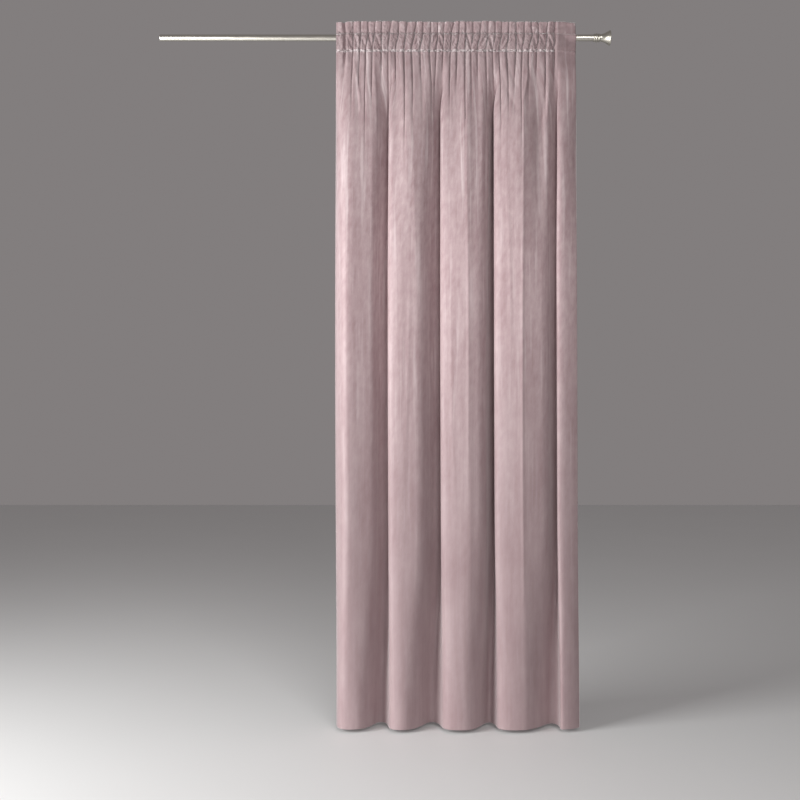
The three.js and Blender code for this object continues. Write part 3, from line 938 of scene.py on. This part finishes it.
    def stitches(self, name: str, places: Sequence[np.ndarray]) -> bpy.types.Object:
        """A row of stitches as one joined mesh.

        Args:
            name: The piece's name.
            places: Runs of points along the rows, one point for each stitch and one more.

        Returns:
            The piece.
        """
        build = bmesh.new()
        for run in places:
            for a, b in zip(run[:-1], run[1:]):
                middle, way = Vector((a + b) / 2), Vector(b - a)
                turn = way.to_track_quat("Z", "Y").to_matrix().to_4x4()
                bmesh.ops.create_cone(
                    build, cap_ends=True, segments=6, radius1=self.thread_radius, radius2=self.thread_radius,
                    depth=way.length * self.stitch_share, matrix=Matrix.Translation(middle) @ turn)
        return new_piece(name, build, self.finishes.thread)

    def row_stitching(self) -> bpy.types.Object:
        """The two gathering rows, on the face and on the back."""
        across = np.arange(0.006, FLAT_WIDTH - 0.005, self.stitch_pitch)
        upper = min(self.heading, key=lambda knot: abs(knot.height * MM - UPPER_ROW))
        layers = (self.heading[0], self.behind(self.heading[0]), upper, self.behind(upper))
        return self.stitches("row_stitching", [
            self.heading_points(across, layer, self.thickness / 2) for layer in layers])

    def hem_stitching(self) -> bpy.types.Object:
        """The stitches of the side hems and the bottom hem, on the back."""
        rise = self.bottom_hem - 0.006
        across = np.arange(0.03, FLAT_WIDTH - 0.03, self.stitch_pitch * 1.4)
        runs = [self.shape.row(across, HEM_HEIGHT + rise, 0.0, self.stitch_side, 1.0)]
        heights = np.arange(HEM_HEIGHT + self.bottom_hem, LOWER_ROW - 0.02, self.stitch_pitch * 2)
        for place in (self.side_hem - 0.004, FLAT_WIDTH - self.side_hem + 0.004):
            runs.append(np.concatenate([
                self.shape.row(np.array([place]), height, 0.0, self.stitch_side, 1.0)
                for height in heights]))
        return self.stitches("hem_stitching", runs)

    def build(self) -> None:
        panel = self.panel()
        sewn = [*self.turnings(), self.row_stitching(), self.hem_stitching()]
        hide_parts("panel")
        for piece in [panel, *sewn]:
            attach(piece, "root")
            log.info("%s: %d faces", piece.name, len(piece.data.polygons))


@dataclass(frozen=True)
class Turning:
    """A row of a turned profile: distance along the rod and radius."""

    along: float
    radius: float


@dataclass
class RodSet:
    """The rod and its trumpet finial."""

    finishes: Finishes
    steps: int = 96
    left_end: float = -1.132
    right_end: float = 0.540
    bevel: float = 0.001
    mouth: float = 0.5245
    outer: tuple[Turning, ...] = tuple(Turning(along * MM, radius * MM) for along, radius in (
        (0, 14.6), (1.2, 15.4), (4.5, 15.4), (5.6, 14.2), (7.4, 14.2), (8.6, 16), (9.6, 16.8), (11, 17.05),
        (12.4, 16.8), (13.6, 16), (14.8, 14), (16.6, 13.6), (17.2, 14.2), (18.2, 15.4), (20, 16),
        (21.8, 15.4), (22.8, 14.2), (23.4, 13.4), (25.4, 13.2), (30, 13.8), (34, 14.8), (39, 16.4),
        (44, 18.6), (48.5, 21), (53, 23.6), (56.5, 25.7), (60, 27.6), (61, 28), (61.8, 28), (62.6, 27.5),
        (63.2, 26.4), (64, 23), (64.9, 17), (65.5, 9), (65.7, 4), (65.8, 0)))

    def spun(self, profile: Sequence[tuple[float, float]]) -> bmesh.types.BMesh:
        """Spin a profile of (X, radius) about the rod's axis.

        Args:
            profile: Points from the axis round to the axis again.

        Returns:
            A closed bmesh with its faces pointing out.
        """
        build = bmesh.new()
        points = [build.verts.new((x, 0.0, radius)) for x, radius in profile]
        edges = [build.edges.new(pair) for pair in zip(points[:-1], points[1:])]
        bmesh.ops.spin(build, geom=points + edges, cent=(0, 0, 0), axis=(1, 0, 0), angle=TURN,
                       steps=self.steps, use_merge=True)
        bmesh.ops.remove_doubles(build, verts=build.verts, dist=1e-6)
        bmesh.ops.recalc_face_normals(build, faces=build.faces)
        return build

    def build(self) -> None:
        """Make the rod and the finial, and report each."""
        left, right, bevel = self.left_end, self.right_end, self.bevel
        rod = new_piece("rod_tube", self.spun([
            (left, 0.0), (left, ROD_RADIUS - bevel), (left + bevel * 0.3, ROD_RADIUS - bevel * 0.3),
            (left + bevel, ROD_RADIUS), (right - bevel, ROD_RADIUS), (right, ROD_RADIUS - bevel),
            (right, 0.0)]), self.finishes.rod)
        socket = ROD_RADIUS + SEAT_GAP
        floor = self.right_end + SEAT_GAP
        finial = new_piece("trumpet_finial", self.spun(
            [(floor, 0.0), (floor, socket), (self.mouth, socket)]
            + [(self.mouth + row.along, row.radius) for row in self.outer]), self.finishes.finial)
        for piece, node, slot in ((rod, "rod", "satin_nickel"), (finial, "finial", "finial_nickel")):
            piece.data.set_sharp_from_angle(angle=40 * DEGREE)
            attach(piece, "root")
            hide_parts(node)
            log.info("%s: %d faces", piece.name, len(piece.data.polygons))


@dataclass
class Studio:
    """The plain floor, the soft lights and the camera."""

    finishes: Finishes
    surround: Colour = (0.86, 0.80, 0.80, 1)
    surround_strength: float = 0.26
    lamp_colour: tuple[float, float, float] = (1.0, 0.99, 0.98)
    floor_size: float = 9.0
    # The camera's sensor in millimetres, and how far it sees
    sensor: float = 36.0
    sight: float = 50.0

    def camera(self) -> None:
        """A level camera in front of the curtain."""
        data = bpy.data.cameras.new("camera")
        data.sensor_width = self.sensor
        data.lens = self.sensor * VIEW_DISTANCE / (FRAME_PIXELS * PIXEL)
        data.clip_end = self.sight
        camera = bpy.data.objects.new("camera", data)
        camera.location = ((FRAME_PIXELS / 2 - CURTAIN_MIDDLE_COLUMN) * PIXEL, -VIEW_DISTANCE,
                           (ROD_AXIS_ROW - FRAME_PIXELS / 2) * PIXEL)
        camera.rotation_euler = (math.pi / 2, 0.0, 0.0)
        bpy.context.scene.collection.objects.link(camera)
        bpy.context.scene.camera = camera

    def floor(self) -> None:
        """A plain pale floor just under the hem."""
        build = bmesh.new()
        bmesh.ops.create_grid(build, x_segments=4, y_segments=4, size=self.floor_size)
        bmesh.ops.translate(build, verts=build.verts, vec=(0, 0, FLOOR_HEIGHT))
        new_piece("floor", build, self.finishes.floor)

    def light(self, name: str, spot: tuple[float, float, float], aim: tuple[float, float, float],
              size: tuple[float, float], power: float) -> None:
        """Add a soft rectangular light at a spot, aimed at a point."""
        data = bpy.data.lights.new(name, "AREA")
        data.shape = "RECTANGLE"
        data.size, data.size_y = size
        data.energy = power
        data.color = self.lamp_colour
        lamp = bpy.data.objects.new(name, data)
        lamp.location = spot
        lamp.rotation_euler = (Vector(aim) - Vector(spot)).to_track_quat("-Z", "Y").to_euler()
        bpy.context.scene.collection.objects.link(lamp)

    def build(self) -> None:
        """Set up everything round the object."""
        bpy.context.scene.view_settings.view_transform = "Standard"
        self.camera()
        self.floor()
        world = bpy.data.worlds.new("studio")
        world.use_nodes = True
        backdrop = world.node_tree.nodes["Background"]
        backdrop.inputs["Color"].default_value = self.surround
        backdrop.inputs["Strength"].default_value = self.surround_strength
        bpy.context.scene.world = world
        self.light("side_light", spot=(-3.5, -2.0, -1.05), aim=(0.0, 0.0, -1.2), size=(2.0, 2.4), power=206)
        self.light("front_light", spot=(0.7, -3.9, 0.3), aim=(0.0, 0.0, -1.3), size=(1.6, 1.6), power=57)
        log.info("studio: camera, floor and lights")


def main() -> None:
    """Load the frame, set up the studio, and build every part of the object."""
    logging.basicConfig(level=logging.INFO, format="%(message)s")
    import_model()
    finishes = Finishes()
    Studio(finishes).build()
    RodSet(finishes).build()
    Curtain(ClothShape(creases=CREASES), finishes).build()
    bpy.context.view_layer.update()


if __name__ == "__main__":
    main()
